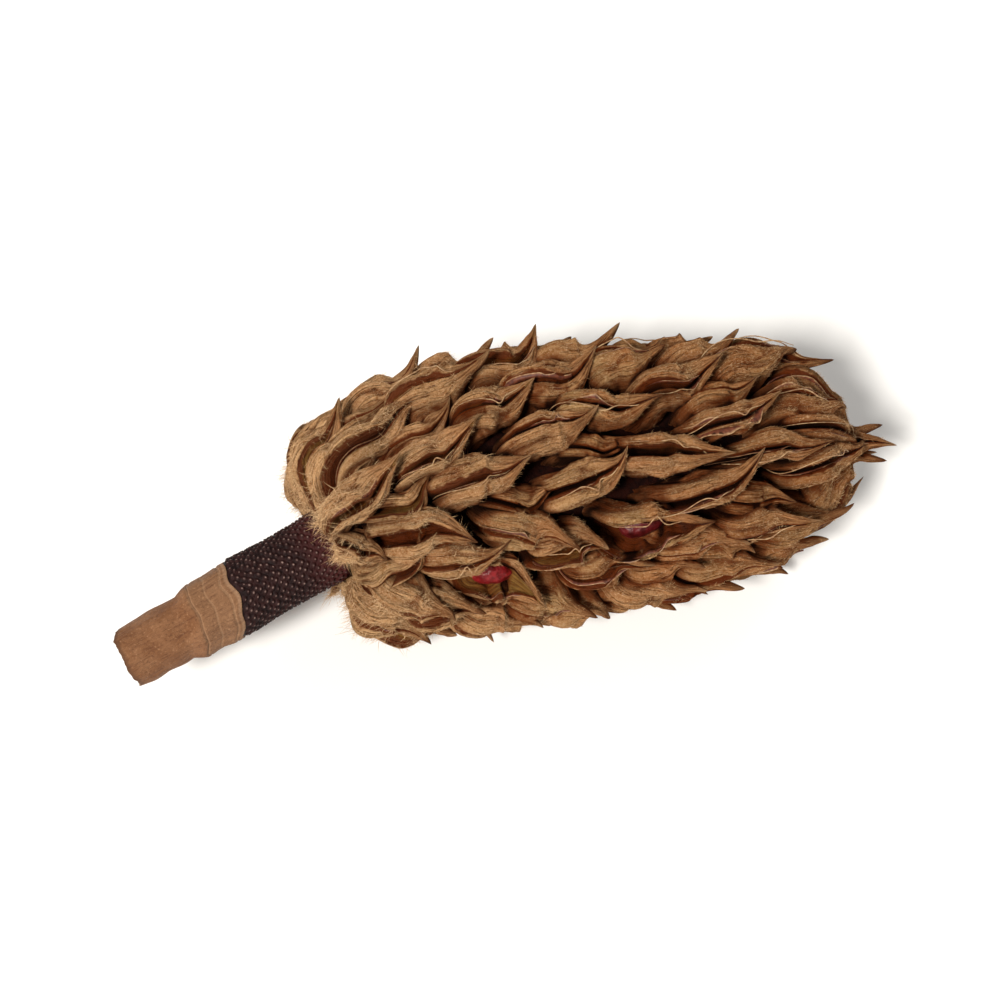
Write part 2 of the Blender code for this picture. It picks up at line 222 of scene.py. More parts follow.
def spread_middles(count):
    """Places along the centreline that share the envelope's area out evenly."""
    step = 0.00005
    total, sums = 0.0, []
    for i in range(round(HEAD_END / step)):
        low, high = envelope(i * step), envelope((i + 1) * step)
        total += (low + high) * math.hypot(high - low, step)
        sums.append(total)
    middles, i = [], 0
    for n in range(count):
        while sums[i] < total * (n + 0.5) / count:
            i += 1
        middles.append((i + 0.5) * step)
    return middles


def by_place(sizes, s):
    """A size that changes along the head, from its base, middle and tip values."""
    base, mid, tip = sizes
    if s < MID_FROM:
        return mix(base, mid, ease(s / MID_FROM))
    return mix(mid, tip, ease((s - WIDEST_AT) / TIP_SPREAD))


def finer(corners, fineness):
    """A closed symmetrical run of points with more added between them, on a smooth curve."""
    corners = np.array(corners)
    made = []
    for i, extra in enumerate((*fineness, *reversed(fineness))):
        before, a, b, after = (corners[(i + k) % len(corners)] for k in (-1, 0, 1, 2))
        for k in range(extra + 1):
            t = k / (extra + 1)
            curve = (b - before, 2 * before - 5 * a + 4 * b - after, 3 * (a - b) + after - before)
            made.append(a + 0.5 * t * (curve[0] + t * (curve[1] + t * curve[2])))
    return np.array(made)


class Follicle:
    """One follicle, with the solids' own draws first and the finer ones after them."""

    # Points put between one corner of the half section and the next, from keel to slit
    FINENESS = (0, 0, 0, 0, 1, 1, 1, 1, 0, 0, 0, 0, 0, 0, 0)

    def __init__(self, number, middle, draw):
        self.theta = number * GOLDEN_ANGLE + draw.uniform(-0.13, 0.13)
        self.middle = middle + draw.uniform(-0.0016, 0.0016)
        self.length = by_place(LENGTHS, middle) * draw.uniform(0.86, 1.14)
        self.width = by_place(WIDTHS, middle) * draw.uniform(0.84, 1.12)
        self.height = BODY_HEIGHT * draw.uniform(0.88, 1.12)
        self.lean = draw.uniform(-0.22, 0.22)
        self.roll = draw.uniform(-0.75, 0.30)
        self.open = draw.uniform(0.10, 0.42) ** 1.1
        self.lift = draw.uniform(-0.0010, 0.0008)
        self.beak_out = by_place(BEAKS, middle) * draw.uniform(0.5, 1.4)
        self.beak_side = draw.uniform(-0.0040, 0.0024)
        self.slit_side = draw.uniform(-0.25, 0.45)
        behind = by_place(BEHIND, middle) * self.length
        self.start = clamp(self.middle - behind, FIRST_ROOT, LAST_ROOT)
        self.rise = by_place(RISES, middle)
        ahead = mix(BASE_AHEAD, AHEAD, ease(middle / 0.005))
        self.end = max(self.middle, 0.002) + ahead * self.length

    def add_detail(self, draw):
        """Draws that only the fine pieces use."""
        self.hood = draw.uniform(-1, 1)  # which lip stands higher, and by how much
        self.tone = draw.uniform(0, 1)
        self.shut = draw.uniform(0.25, 0.80)  # how far the lips have drawn together again
        self.hook = draw.uniform(-1.9, 1.3) * MM  # how far the beak's point bends round the head
        self.perk = draw.uniform(-0.4, 1.2) * MM  # and away from it
        self.wave = draw.uniform(0, 100)
        self.torn = 1.0  # height left of the upper lip
        self.wool = 1 - ease((self.middle - 0.004) / 0.034)  # woolly near the collar
        self.strap = ease((self.middle - 0.040) / 0.030)  # long and fibrous near the tip

    def spine(self, u):
        """Centre of the husk at u, from 0 at the root to 1 at the beak's point."""
        s = mix(self.start, self.end, u ** mix(1.6, 1.1, clamp(self.middle / 0.03)))
        straight = mix(s, self.middle, 0.5 if s > self.middle else 0)
        root = core_radius(self.start) - ROOT_SINK
        body = max(envelope(straight) - 0.5 * self.tall(u) + self.lift, THINNEST)
        radius = mix(root, body, ease(u / self.rise))
        beak = clamp((u - BEAK_START) / (1 - BEAK_START)) ** 1.5
        radius += self.beak_out * beak
        theta = self.theta + self.lean * (u - 0.4) + self.beak_side * beak / max(radius, 0.006)
        return place(s, radius, theta)

    def wide(self, u):
        body = 0.62 + 0.38 * math.sin(math.pi * clamp(u / 0.84)) ** 0.7
        shoulder = 1 - 0.50 * ease((u - 0.58) / 0.38)
        point = 1 - 0.5 * ease((u - 0.84) / 0.16)
        return self.width * body * shoulder * point

    def tall(self, u):
        body = 0.72 + 0.28 * math.sin(math.pi * clamp(u / 0.8))
        return self.height * body * (1 - 0.74 * ease((u - 0.52) / 0.33))

    def gap(self, u):
        """Half the slit's width as a share of the half width."""
        return self.open * math.sin(math.pi * clamp((u - 0.05) / 0.80)) ** 0.6 + 0.05

    def depth(self, u):
        """Depth of the slit as a share of the height."""
        return SLIT_DEPTH * math.sin(math.pi * clamp((u - 0.04) / 0.86)) ** 0.5

    def crest(self, u):
        """Middle of the husk's outer face at u."""
        here = self.spine(u)
        out = (here - centre(mix(self.start, self.end, u))).normalized()
        return here + out * (0.5 * self.tall(u))

    def frame(self, u):
        """The husk's middle at u, with the directions across it and outwards."""
        step = 0.10
        here, along = self.spine(u), self.crest(min(u + step, 1)) - self.crest(max(u - step, 0))
        along.normalize()
        out = here - centre(mix(self.start, self.end, u))
        across = along.cross(out).normalized()
        out = across.cross(along)
        turn = self.roll * ease(u / 0.8)
        rolled = across * math.cos(turn) + out * math.sin(turn)
        return here, rolled, out * math.cos(turn) - across * math.sin(turn)

    def half_section(self, u, sign):
        """Points of one side, from beside the keel to beside the slit's bottom.

        Each is (across, out, inside): the first two as shares of the half width and the
        height, the last 0 on the felt, 0.5 on the lip's edge and 1 in the slit.
        """
        gap, depth = self.gap(u), self.depth(u)
        ripple = noise.noise((u * 7, self.wave, sign * 3))
        gap = max(gap * self.shut * (1 + 0.8 * ripple), 0.015)
        side = self.slit_side * (1 - gap) * sign
        open_here = math.sin(math.pi * clamp((u - 0.04) / 0.84)) ** 0.5
        hood = 0.14 * (1 + 0.95 * self.hood * sign) * open_here
        crest = mix(0.60, gap, 0.5)
        edge = mix(0.10, 0.03, open_here)
        torn = mix(1, self.torn, open_here) if sign < 0 else 1
        points = (
            (0.26, -0.49, 0.0),
            (0.50, -0.42, 0.0),
            (0.72, -0.26, 0.0),
            (0.90, -0.04, 0.0),
            (0.98, 0.15, 0.0),
            (0.94, 0.31 + 0.3 * hood, 0.0),
            (0.79 + side * 0.15, 0.43 + 0.6 * hood, 0.0),
            (crest + 0.13 + side * 0.4, 0.50 + 0.9 * hood, 0.05),
            (crest + side * 0.6, 0.52 + hood, 0.15),
            (mix(crest, gap, 0.45) + side * 0.8, 0.505 + hood, 0.30),
            (mix(crest, gap, 0.80) + side * 0.95, 0.455 + hood, 0.50),
            (gap + side, 0.38 + 0.8 * hood, 0.75),
            (gap + edge + side, 0.5 - 0.42 * depth, 1.0),
            (gap * 0.7 + edge * 0.5 + side, 0.5 - 0.80 * depth, 1.0),
        )
        return [(a, b * torn if b > 0 else b, inside) for a, b, inside in points]

    def lip(self, u, sign, corner, inwards=0.0, lower=0.0):
        """A corner of the half section in space, with the directions across and outwards."""
        here, across, out = self.frame(u)
        a, b, _ = self.half_section(u, sign)[corner]
        shift = (a - inwards) * sign * self.wide(u), (b - lower) * self.tall(u)
        return here + across * shift[0] + out * shift[1], across, out

    def section(self, u):
        """All points round the husk, closed: keel, one side, the slit's bottom, the other side."""
        side = self.slit_side * (1 - self.gap(u))
        keel, bottom = (0.0, -0.5, 0.0), (side, 0.5 - self.depth(u), 1.0)
        right = self.half_section(u, 1)
        left = [(-a, b, i) for a, b, i in self.half_section(u, -1)]
        return finer([keel, *right, bottom, *reversed(left)], self.FINENESS)


class Flap(Follicle):
    """An undeveloped follicle: small, sunk and dry, in a gap between the others."""

    def __init__(self, s, theta, draw):
        super().__init__(0, s, draw)
        self.theta, self.middle = theta, s
        self.length = draw.uniform(0.0095, 0.0130)
        self.width = draw.uniform(0.0019, 0.0026)
        self.height = BODY_HEIGHT * 0.85
        self.lift = -draw.uniform(0.0008, 0.0022)
        self.beak_out = draw.uniform(0.0004, 0.0020)
        self.start = clamp(s - 0.45 * self.length, FIRST_ROOT, LAST_ROOT)
        self.end = s + 0.55 * self.length
        self.add_detail(draw)


def grow_follicles():
    draw = random.Random(SEED)
    follicles = [Follicle(i, middle, draw) for i, middle in enumerate(spread_middles(FOLLICLES))]
    detail = random.Random(DETAIL_SEED)
    for follicle in follicles:
        follicle.add_detail(detail)
    return follicles


def seed_holders(follicles):
    """The follicle nearest each seed's place, opened wide round it."""
    holders = []
    for s, theta in SEED_PLACES:
        turn = [math.remainder(f.theta - theta, math.tau) * HEAD_RADIUS for f in follicles]
        near = [math.hypot(f.middle - s, t) for f, t in zip(follicles, turn)]
        holder = follicles[near.index(min(near))]
        holder.open, holder.roll, holder.slit_side = HOLDER_OPEN, 0.0, 0.0
        holder.width = max(holder.width, HOLDER_WIDTH)
        holder.shut = 1.0
        holders.append(holder)
    holders[0].torn, holders[0].slit_side = TORN, TORN_SLIT
    follicles[BENT_ASIDE].hook, follicles[BENT_ASIDE].perk = BENT_ROUND, BENT_IN
    return holders


def collar_edge(theta):
    """Ragged slanted line where the dark collar gives way to the woody stem."""
    slant = 0.0013 * math.cos(theta - math.radians(35))
    return -COLLAR_LENGTH + slant + 0.0004 * math.sin(3 * theta + 1) + 0.00025 * math.sin(7 * theta)


def stem_radius(t):
    """Radius along the stem, from t = 0 at the cut end to 1 at the collar."""
    node = NODE_RADIUS * (1 - 0.10 * ease((t - 0.80) / 0.20))
    shaft = STEM_RADIUS * (1 + 0.03 * math.sin(5 * t))
    return mix(shaft, node, ease((t - 0.50) / 0.16))


def stem_place(t, theta, extra=0.0, longer=0.0):
    """Point on the stem's skin, with t = 0 at the cut end and 1 at the collar."""
    end = -COLLAR_LENGTH - STEM_LENGTH
    cut = end + 0.0007 * math.sin(theta + 2.4) + 0.0003 * math.sin(4 * theta) - longer
    s = mix(cut, collar_edge(theta) - JOINT_GAP, t)
    rib = 0.00010 * math.sin(5 * theta + 3 * t)
    return place(s, stem_radius(t) + rib + extra, theta)


def find_offset():
    """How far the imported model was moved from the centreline's own frame."""
    turns = [math.tau * i / SCARS_ROUND for i in range(SCARS_ROUND)]
    points = [stem_place(row / SOLID_STEM_ROWS, theta) for row in (0, 1, 2) for theta in turns]
    low = np.array(points).min(0)
    box_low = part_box("woody_stem")[0]
    return np.array((box_low.x - low[0], box_low.y - low[1], 0.0))


OFFSET = find_offset()


def settle(points):
    """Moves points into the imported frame, with the underside pressed softly on the surface."""
    points = np.asarray(points, float) + OFFSET
    height = points[:, 2]
    points[:, 2] = np.where(height > 8 * PRESS, height, PRESS * np.log1p(np.exp(height / PRESS)))
    return points


def skin_quads(index):
    """Quads over closed rings, from the numbers of their points, (..., rows, points round)."""
    beside = np.roll(index, -1, axis=-1)
    corners = (index[..., :-1, :], beside[..., :-1, :], beside[..., 1:, :], index[..., 1:, :])
    return np.stack(corners, axis=-1).reshape(-1, 4).tolist()


class Shape:
    """Collects points and faces, with named values at each point, for one mesh."""

    def __init__(self):
        self.points, self.faces, self.values, self.count = [], [], {}, 0

    def add_points(self, points, values):
        self.points.append(points)
        for name, value in values.items():
            self.values.setdefault(name, []).append(value)
        first = self.count
        self.count += len(points)
        return first

    def add_tube(self, rings, values):
        """Closed skin over rings of equal count, with a fan of triangles at each end.

        rings is an array of (rows, points, 3), and each value one of (rows, points), or
        anything that spreads to it.
        """
        rows, around = rings.shape[:2]
        ends = rings[[0, -1]].mean(axis=1)
        points = np.concatenate((rings.reshape(-1, 3), ends))
        spread = {}
        for name, value in values.items():
            value = np.broadcast_to(value, (rows, around))
            spread[name] = np.concatenate((value.ravel(), value[[0, -1], 0]))
        first = self.add_points(points, spread)
        index = first + np.arange(rows * around).reshape(rows, around)
        beside = np.roll(index, -1, axis=1)
        self.faces.extend(skin_quads(index))
        low, high = first + rows * around, first + rows * around + 1
        self.faces.extend([low, b, a] for a, b in zip(index[0].tolist(), beside[0].tolist()))
        self.faces.extend([a, b, high] for a, b in zip(index[-1].tolist(), beside[-1].tolist()))

    def make(self, name, material, settled=True):
        """The finished piece, riding on the pod's one body."""
        points = np.concatenate(self.points)
        mesh = bpy.data.meshes.new(name)
        mesh.from_pydata((settle(points) if settled else points).tolist(), [], self.faces)
        for value_name, parts in self.values.items():
            attribute = mesh.attributes.new(value_name, "FLOAT", "POINT")
            attribute.data.foreach_set("value", np.concatenate(parts).astype(np.float32))
        mesh.shade_smooth()
        mesh.materials.append(material)
        piece = bpy.data.objects.new(name, mesh)
        bpy.context.scene.collection.objects.link(piece)
        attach(piece, "root")
        return piece


def tube_piece(name, rings, values, material):
    """A piece that is one closed tube."""
    shape = Shape()
    shape.add_tube(np.array(rings), values)
    return shape.make(name, material)


class Paint:
    """Node tree of one material, with short ways to add its nodes and to lay its colours."""

    def __init__(self, name, roughness, specular=0.5):
        self.material = bpy.data.materials.new(name)
        self.material.use_nodes = True
        self.nodes = self.material.node_tree.nodes
        self.links = self.material.node_tree.links
        self.shader = self.nodes["Principled BSDF"]
        self.shader.inputs["Roughness"].default_value = roughness
        self.shader.inputs["Specular IOR Level"].default_value = specular
        self.colour = self.relief = None
        where = self.node("ShaderNodeTexCoord", {})["Object"]
        in_mm = {0: where, 1: (1000, 1000, 1000)}
        self.where = self.node("ShaderNodeVectorMath", in_mm, operation="MULTIPLY")[0]

    def feed(self, socket, value):
        """Sets a socket to a constant, or links it to another node's output."""
        if isinstance(value, bpy.types.NodeSocket):
            self.links.new(value, socket)
        elif isinstance(value, tuple) and len(value) == 3 and socket.type == "RGBA":
            socket.default_value = (*value, 1)
        else:
            socket.default_value = value

    def node(self, kind, inputs, **settings):
        """Outputs of a new node with these settings, its sockets fed by number or name."""
        node = self.nodes.new(kind)
        for name, value in settings.items():
            setattr(node, name, value)
        for name, value in inputs.items():
            self.feed(node.inputs[name], value)
        return node.outputs

    def value(self, name):
        """A value stored at the mesh's points."""
        return self.node("ShaderNodeAttribute", {}, attribute_name=name)["Fac"]

    def math(self, operation, a, b=0.5):
        return self.node("ShaderNodeMath", {0: a, 1: b}, operation=operation)[0]

    def share(self, name, amount):
        return self.math("MULTIPLY", self.value(name), amount)

    def grain(self, lengthwise, round_it):
        """Coordinates that run along a husk or stem and round it, scaled by these two."""
        along, across = self.share("length_mm", lengthwise), self.share("round_mm", round_it)
        return self.node("ShaderNodeCombineXYZ", {0: along, 1: across, 2: self.share("tone", 57.0)})[0]

    def noise(self, vector, scale, detail=3.0, roughness=0.55):
        inputs = {"Vector": vector, "Scale": scale, "Detail": detail, "Roughness": roughness}
        return self.node("ShaderNodeTexNoise", inputs)["Fac"]

    def span(self, value, low, high, to_low=0.0, to_high=1.0):
        """The value's stretch from low to high, mapped smoothly to another stretch."""
        inputs = dict(enumerate((value, low, high, to_low, to_high)))
        return self.node("ShaderNodeMapRange", inputs, interpolation_type="SMOOTHSTEP")[0]

    def mix(self, factor, a, b):
        return self.node("ShaderNodeMix", {0: factor, 6: a, 7: b}, data_type="RGBA")[2]

    def blend(self, value, low, high, a, b):
        """One colour where the value is low, passing into another where it is high."""
        return self.mix(self.span(value, low, high), a, b)

    def lay(self, amount, colour):
        """Lays a colour over what is there already."""
        self.colour = self.mix(amount, self.colour, colour)

    def layers(self, *layers):
        """Lays colours one over the other, each by how high a value is.

        A layer is the value, the stretch of it that counts, how much of the colour there
        is at the stretch's low and high end, and the colour.
        """
        for value, low, high, at_low, at_high, colour in layers:
            self.lay(self.span(value, low, high, at_low, at_high), colour)

    def emboss(self, height, distance):
        """Relief of this height in metres, over the relief that is there already."""
        below = {} if self.relief is None else {"Normal": self.relief}
        self.relief = self.node("ShaderNodeBump", {"Distance": distance, "Height": height, **below})[0]

    def finish(self, roughness=None):
        self.feed(self.shader.inputs["Base Color"], self.colour)
        if self.relief is not None:
            self.feed(self.shader.inputs["Normal"], self.relief)
        if roughness is not None:
            self.feed(self.shader.inputs["Roughness"], roughness)
        return self.material


def felt_material():
    """Speckled tan felt, orange-brown beaks, and a smooth lining in the slits, dark or ochre, with painted
    shade in the gaps, creases and undersides.
    """
    paint = Paint("felted_husk", 0.92, 0.03)
    broad = paint.noise(paint.where, 0.13, 2.0)
    mottle = paint.noise(paint.where, 0.70, 4.0)
    strand = paint.noise(paint.grain(0.10, 0.80), 1.0, 3.0, 0.6)
    fibre = paint.noise(paint.grain(0.25, 2.2), 1.0, 5.0, 0.70)
    speckle = paint.noise(paint.where, 2.3, 4.0, 0.75)
    pores = paint.noise(paint.where, 5.5, 3.0, 0.7)
    seam = paint.math("ABSOLUTE", paint.math("SUBTRACT", strand, 0.52))
    tone, along = paint.value("tone"), paint.value("along")
    paint.colour = paint.blend(broad, 0.36, 0.64, (0.405, 0.176, 0.068), (0.450, 0.270, 0.116))
    paint.lay(paint.span(tone, 0.2, 1.0, 0.0, 0.7), (0.530, 0.262, 0.116))
    paint.lay(paint.share("wool", 0.75), (0.590, 0.350, 0.168))
    paint.lay(paint.share("strap", 0.60), (0.305, 0.128, 0.047))
    paint.layers(
        (strand, 0.36, 0.50, 0.38, 0.0, (0.152, 0.035, 0.006)),
        (mottle, 0.52, 0.72, 0.0, 0.55, (0.210, 0.070, 0.014)),
        (fibre, 0.30, 0.48, 0.48, 0.0, (0.168, 0.043, 0.007)),
        (fibre, 0.56, 0.78, 0.0, 0.45, (0.645, 0.405, 0.218)),
        (speckle, 0.34, 0.48, 0.72, 0.0, (0.185, 0.053, 0.009)),
        (speckle, 0.54, 0.68, 0.0, 0.62, (0.690, 0.455, 0.260)),
        # painted shade in the creases of the skin
        (paint.value("fold"), 0.15, 0.85, 0.0, 0.72, (0.112, 0.020, 0.003)),
        (seam, 0.0, 0.022, 0.62, 0.0, (0.095, 0.019, 0.004)),
    )
    horn = paint.blend(fibre, 0.40, 0.58, (0.105, 0.029, 0.010), (0.500, 0.228, 0.092))
    paint.lay(paint.math("MULTIPLY", paint.span(along, 0.60, 0.86), 0.72), horn)
    point = paint.blend(tone, 0.40, 0.60, (0.110, 0.034, 0.014), (0.560, 0.330, 0.165))
    inside = paint.math("ADD", paint.value("inside"), paint.span(mottle, 0.2, 0.8, -0.10, 0.10))
    dark = paint.blend(fibre, 0.35, 0.65, (0.030, 0.007, 0.004), (0.110, 0.030, 0.013))
    ochre = paint.blend(fibre, 0.35, 0.65, (0.130, 0.050, 0.013), (0.330, 0.175, 0.045))
    # Painted shade: baked occlusion darkens the felt to near black where other husks hem a place in, less
    # so in the wool.
    shade_eased_by_wool = paint.math("SUBTRACT", 1.0, paint.share("wool", 0.40))
    deep = paint.math("MULTIPLY", paint.value("deep"), shade_eased_by_wool)
    paint.layers(
        (along, 0.90, 0.99, 0.0, 0.65, point),
        # painted shade on the husks' undersides and towards their roots
        (paint.value("low"), 0.15, 0.85, 0.0, 0.80, (0.068, 0.013, 0.002)),
        (inside, 0.22, 0.40, 0.0, 0.92, (0.095, 0.016, 0.004)),
        (inside, 0.64, 0.84, 0.0, 1.0, paint.blend(tone, 0.72, 0.76, dark, ochre)),
        # painted shade from the baked occlusion
        (deep, 0.22, 0.60, 0.0, 0.80, (0.122, 0.022, 0.003)),
        (deep, 0.50, 0.82, 0.0, 0.97, (0.010, 0.0012, 0.0003)),
    )
    paint.emboss(paint.span(seam, 0.0, 0.030), 0.00035)
    paint.emboss(strand, 0.00080)
    paint.emboss(fibre, 0.00035)
    paint.emboss(speckle, 0.00034)
    paint.emboss(pores, 0.00015)
    paint.shader.inputs["Sheen Weight"].default_value = 0.015
    paint.shader.inputs["Sheen Roughness"].default_value = 0.6
    paint.shader.inputs["Sheen Tint"].default_value = (0.85, 0.60, 0.35, 1)
    return paint.finish(paint.span(inside, 0.5, 0.85, 0.92, 0.42))


def husk_values(follicle, stations, sections):
    """What the felt's colours go by, at each point of a husk or the same all over it."""
    sections = np.array(sections)
    out, inside = sections[:, :, 1], sections[:, :, 2]
    along = np.array(stations)[:, None]
    return {
        "inside": inside,
        "along": along,
        # low: painted shade on the underside and towards the root, where the husk runs in under its
        # neighbours; it also keeps hairs off there
        "low": np.clip(0.25 - out - inside, 0, 1) + np.clip(0.35 - along, 0, 1) * 1.2,
        "tone": follicle.tone,
        "wool": follicle.wool,
        "strap": follicle.strap,
    }


def husk_rings(follicle, stations, sections):
    """Points of the husk's skin, (stations, points round it, 3), and how deep in a fold each is."""
    rings, folds = [], []
    for u, section in zip(stations, sections):
        here, across, out = follicle.frame(u)
        w, h = follicle.wide(u), follicle.tall(u)
        point = min(1.0, (1 - u) / 0.12) ** 0.6 if u < 1 else 0.02
        bend = clamp((u - 0.70) / 0.30) ** 2
        here += across * (0.9 * MM * noise.noise((u * 3.1, follicle.wave, 31)) + follicle.hook * bend)
        here += out * (0.8 * MM * noise.noise((u * 3.7, follicle.wave, 47)) + follicle.perk * bend)
        ring, fold_ring = [], []
        for a, b, inside in section:
            at = Vector((a, b, 0))
            lump = noise.noise(at * 1.3 + Vector((0, follicle.wave, u * 6)))
            ridge = noise.noise(at * 4 + Vector((0, follicle.wave, u * 2.4)))
            fold = max(0.0, 1 - 6 * abs(noise.noise(at * 2.3 + Vector((0, follicle.wave + 20, u * 1.7)))))
            skin = 1 - ease(inside * 1.6)
            rough = lump * 0.24 + ridge * mix(0.22, 0.28, follicle.wool)
            puff = 1 + skin * (rough - fold * (0.14 + 0.07 * max(follicle.strap, follicle.wool)))
            ring.append(here + across * (a * w * point * puff) + out * (b * h * point * puff))
            # the crease's depth, kept for painted shade in the creases
            fold_ring.append(fold * skin)
        rings.append(ring)
        folds.append(fold_ring)
    return np.array(rings), np.array(folds)


def perimeter(rings):
    """Distances round and along a husk in millimetres, with the fibres' lines kept even.

    The distance round is the one at the husk's widest, so that fibres run on into the beak.
    """
    round_steps = np.linalg.norm(np.diff(rings, axis=1), axis=2).max(axis=0)
    round_mm = np.concatenate(([0.0], round_steps.cumsum()))
    row_steps = np.linalg.norm(np.diff(rings.mean(axis=1), axis=0), axis=1)
    length_mm = np.concatenate(([0.0], row_steps.cumsum()))
    return round_mm / MM, length_mm[:, None] / MM


def facing(rings):
    """Outward directions at the points of a husk's rings."""
    lengthwise = np.gradient(rings, axis=0)
    sideways = np.roll(rings, -1, axis=1) - np.roll(rings, 1, axis=1)
    normal = np.cross(sideways, lengthwise)
    normal /= np.maximum(np.linalg.norm(normal, axis=2, keepdims=True), 1e-12)
    outward = (normal * (rings - rings.mean(axis=1, keepdims=True))).sum()
    return normal if outward > 0 else -normal


def husk_tree(all_rings):
    """The husks' skins, ready for rays to be cast at them."""
    points = np.stack(all_rings)
    index = np.arange(points[..., 0].size).reshape(points.shape[:3])
    return BVHTree.FromPolygons(points.reshape(-1, 3).tolist(), skin_quads(index))


def fill_gaps(tree):
    """Flaps in the deepest gaps between the husks, the deepest first."""
    draw = random.Random(DETAIL_SEED + 6)
    s_steps = np.arange(*FLAP_RANGE, 0.001)
    turns = np.arange(90) * math.tau / 90
    depth = np.zeros((len(s_steps), len(turns)))
    for i, s in enumerate(s_steps.tolist()):
        for k, theta in enumerate(turns.tolist()):
            above = place(s, envelope(s) + LOOK_FROM, theta)
            hit = tree.ray_cast(above, (centre(s) - above).normalized())[3]
            depth[i, k] = GAP_DEEPEST if hit is None else clamp(hit - LOOK_FROM, 0, GAP_DEEPEST)
    wide = sum(np.roll(depth, shift, axis=1) for shift in (-1, 0, 1)) / 3
    wide = np.pad(wide, ((2, 2), (0, 0)), mode="edge")
    wide = sum(wide[shift : shift + len(s_steps)] for shift in range(5)) / 5

    def clear(s, theta, reach):
        turned = np.abs((turns - theta + math.pi) % math.tau - math.pi) * HEAD_RADIUS
        wide[np.hypot((s_steps - s)[:, None] / 1.5, turned[None, :]) < reach] = 0

    for s, theta in SEED_PLACES:
        clear(s, theta, SEED_CLEAR)
    flaps = []
    while len(flaps) < FLAPS and wide.max() > FLAP_LEAST:
        i, k = np.unravel_index(wide.argmax(), wide.shape)
        flaps.append(Flap(float(s_steps[i]), float(turns[k]), draw))
        clear(flaps[-1].middle, flaps[-1].theta, FLAP_APART)
    return flaps


def crowding(all_rings, tree):
    """How hemmed in by husks each ring point is: 0 in the open, 1 at the bottom of a gap.

    Rays are sent out from every other point, and the points between take the mean.
    The felt and its hairs are darkened by this value as painted shade.
    """
    rows, around = all_rings[0].shape[:2]
    draw = np.random.default_rng(DETAIL_SEED + 4)
    rays = RAYS
    crowds = []
    for rings in all_rings:
        normal = facing(rings)[::2, ::2]
        start = (rings[::2, ::2] + normal * 0.06 * MM).reshape(-1, 3)
        shade = np.zeros(len(start))
        for _ in range(rays):
            spread = draw.normal(0, 1, normal.shape)
            spread /= np.linalg.norm(spread, axis=2, keepdims=True)
            towards = (normal * 1.02 + spread).reshape(-1, 3)
            towards /= np.linalg.norm(towards, axis=1, keepdims=True)
            for i, (origin, ray) in enumerate(zip(start.tolist(), towards.tolist())):
                distance = tree.ray_cast(origin, ray, CROWD_REACH)[3]
                if distance is not None:
                    shade[i] += 1 - 0.5 * distance / CROWD_REACH
        coarse = (shade / rays).reshape(normal.shape[:2])
        wide = np.empty((coarse.shape[0], around))
        wide[:, ::2] = coarse
        wide[:, 1::2] = (coarse + np.roll(coarse, -1, axis=1)) / 2
        full = np.empty((rows, around))
        full[::2] = wide
        full[1::2] = (wide + np.concatenate((wide[1:], wide[-1:]))) / 2
        crowds.append((full + np.roll(full, 1, axis=1) + np.roll(full, -1, axis=1)) / 3)
    return crowds


def make_husks(follicles, felt):
    """The follicles' skins, in a base half and a tip half, and the flaps between them."""
    stations = [(i / (STATIONS - 1)) ** 0.9 for i in range(STATIONS)]

    def cut(grown):
        cuts = [[follicle.section(u) for u in stations] for follicle in grown]
        return [(f, made, *husk_rings(f, stations, made)) for f, made in zip(grown, cuts)]

    husks = cut(follicles)
    husks += cut(fill_gaps(husk_tree([rings for _, _, rings, _ in husks])))
    all_rings = [rings for _, _, rings, _ in husks]
    crowds = crowding(all_rings, husk_tree(all_rings))
    half = FOLLICLES // 2
    pieces = []
    for name, group in (
        ("husks_base", slice(0, half)),
        ("husks_tip", slice(half, FOLLICLES)),
        ("husks_between", slice(FOLLICLES, None)),
    ):
        shape = Shape()
        for (follicle, sections, rings, folds), crowd in zip(husks[group], crowds[group]):
            values = husk_values(follicle, stations, sections)
            values["round_mm"], values["length_mm"] = perimeter(rings)
            shape.add_tube(rings, {**values, "deep": crowd, "fold": folds})
        piece = shape.make(name, felt)
        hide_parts("follicle_head")
        pieces.append(piece)
    return pieces


def edge_material():
    """Papery edges of the slits: dark red-brown at the root, pale along the rim."""
    paint = Paint("papery_edge", 0.55, 0.3)
    streak = paint.noise(paint.where, 1.6, 3.0)
    paint.colour = paint.blend(streak, 0.3, 0.7, (0.055, 0.012, 0.006), (0.15, 0.040, 0.016))
    pale = paint.blend(streak, 0.35, 0.7, (0.26, 0.125, 0.055), (0.50, 0.325, 0.165))
    paint.layers((paint.value("rim"), 0.76, 1.0, 0.0, 1.0, pale))
    paint.emboss(streak, 0.0001)
    return paint.finish()


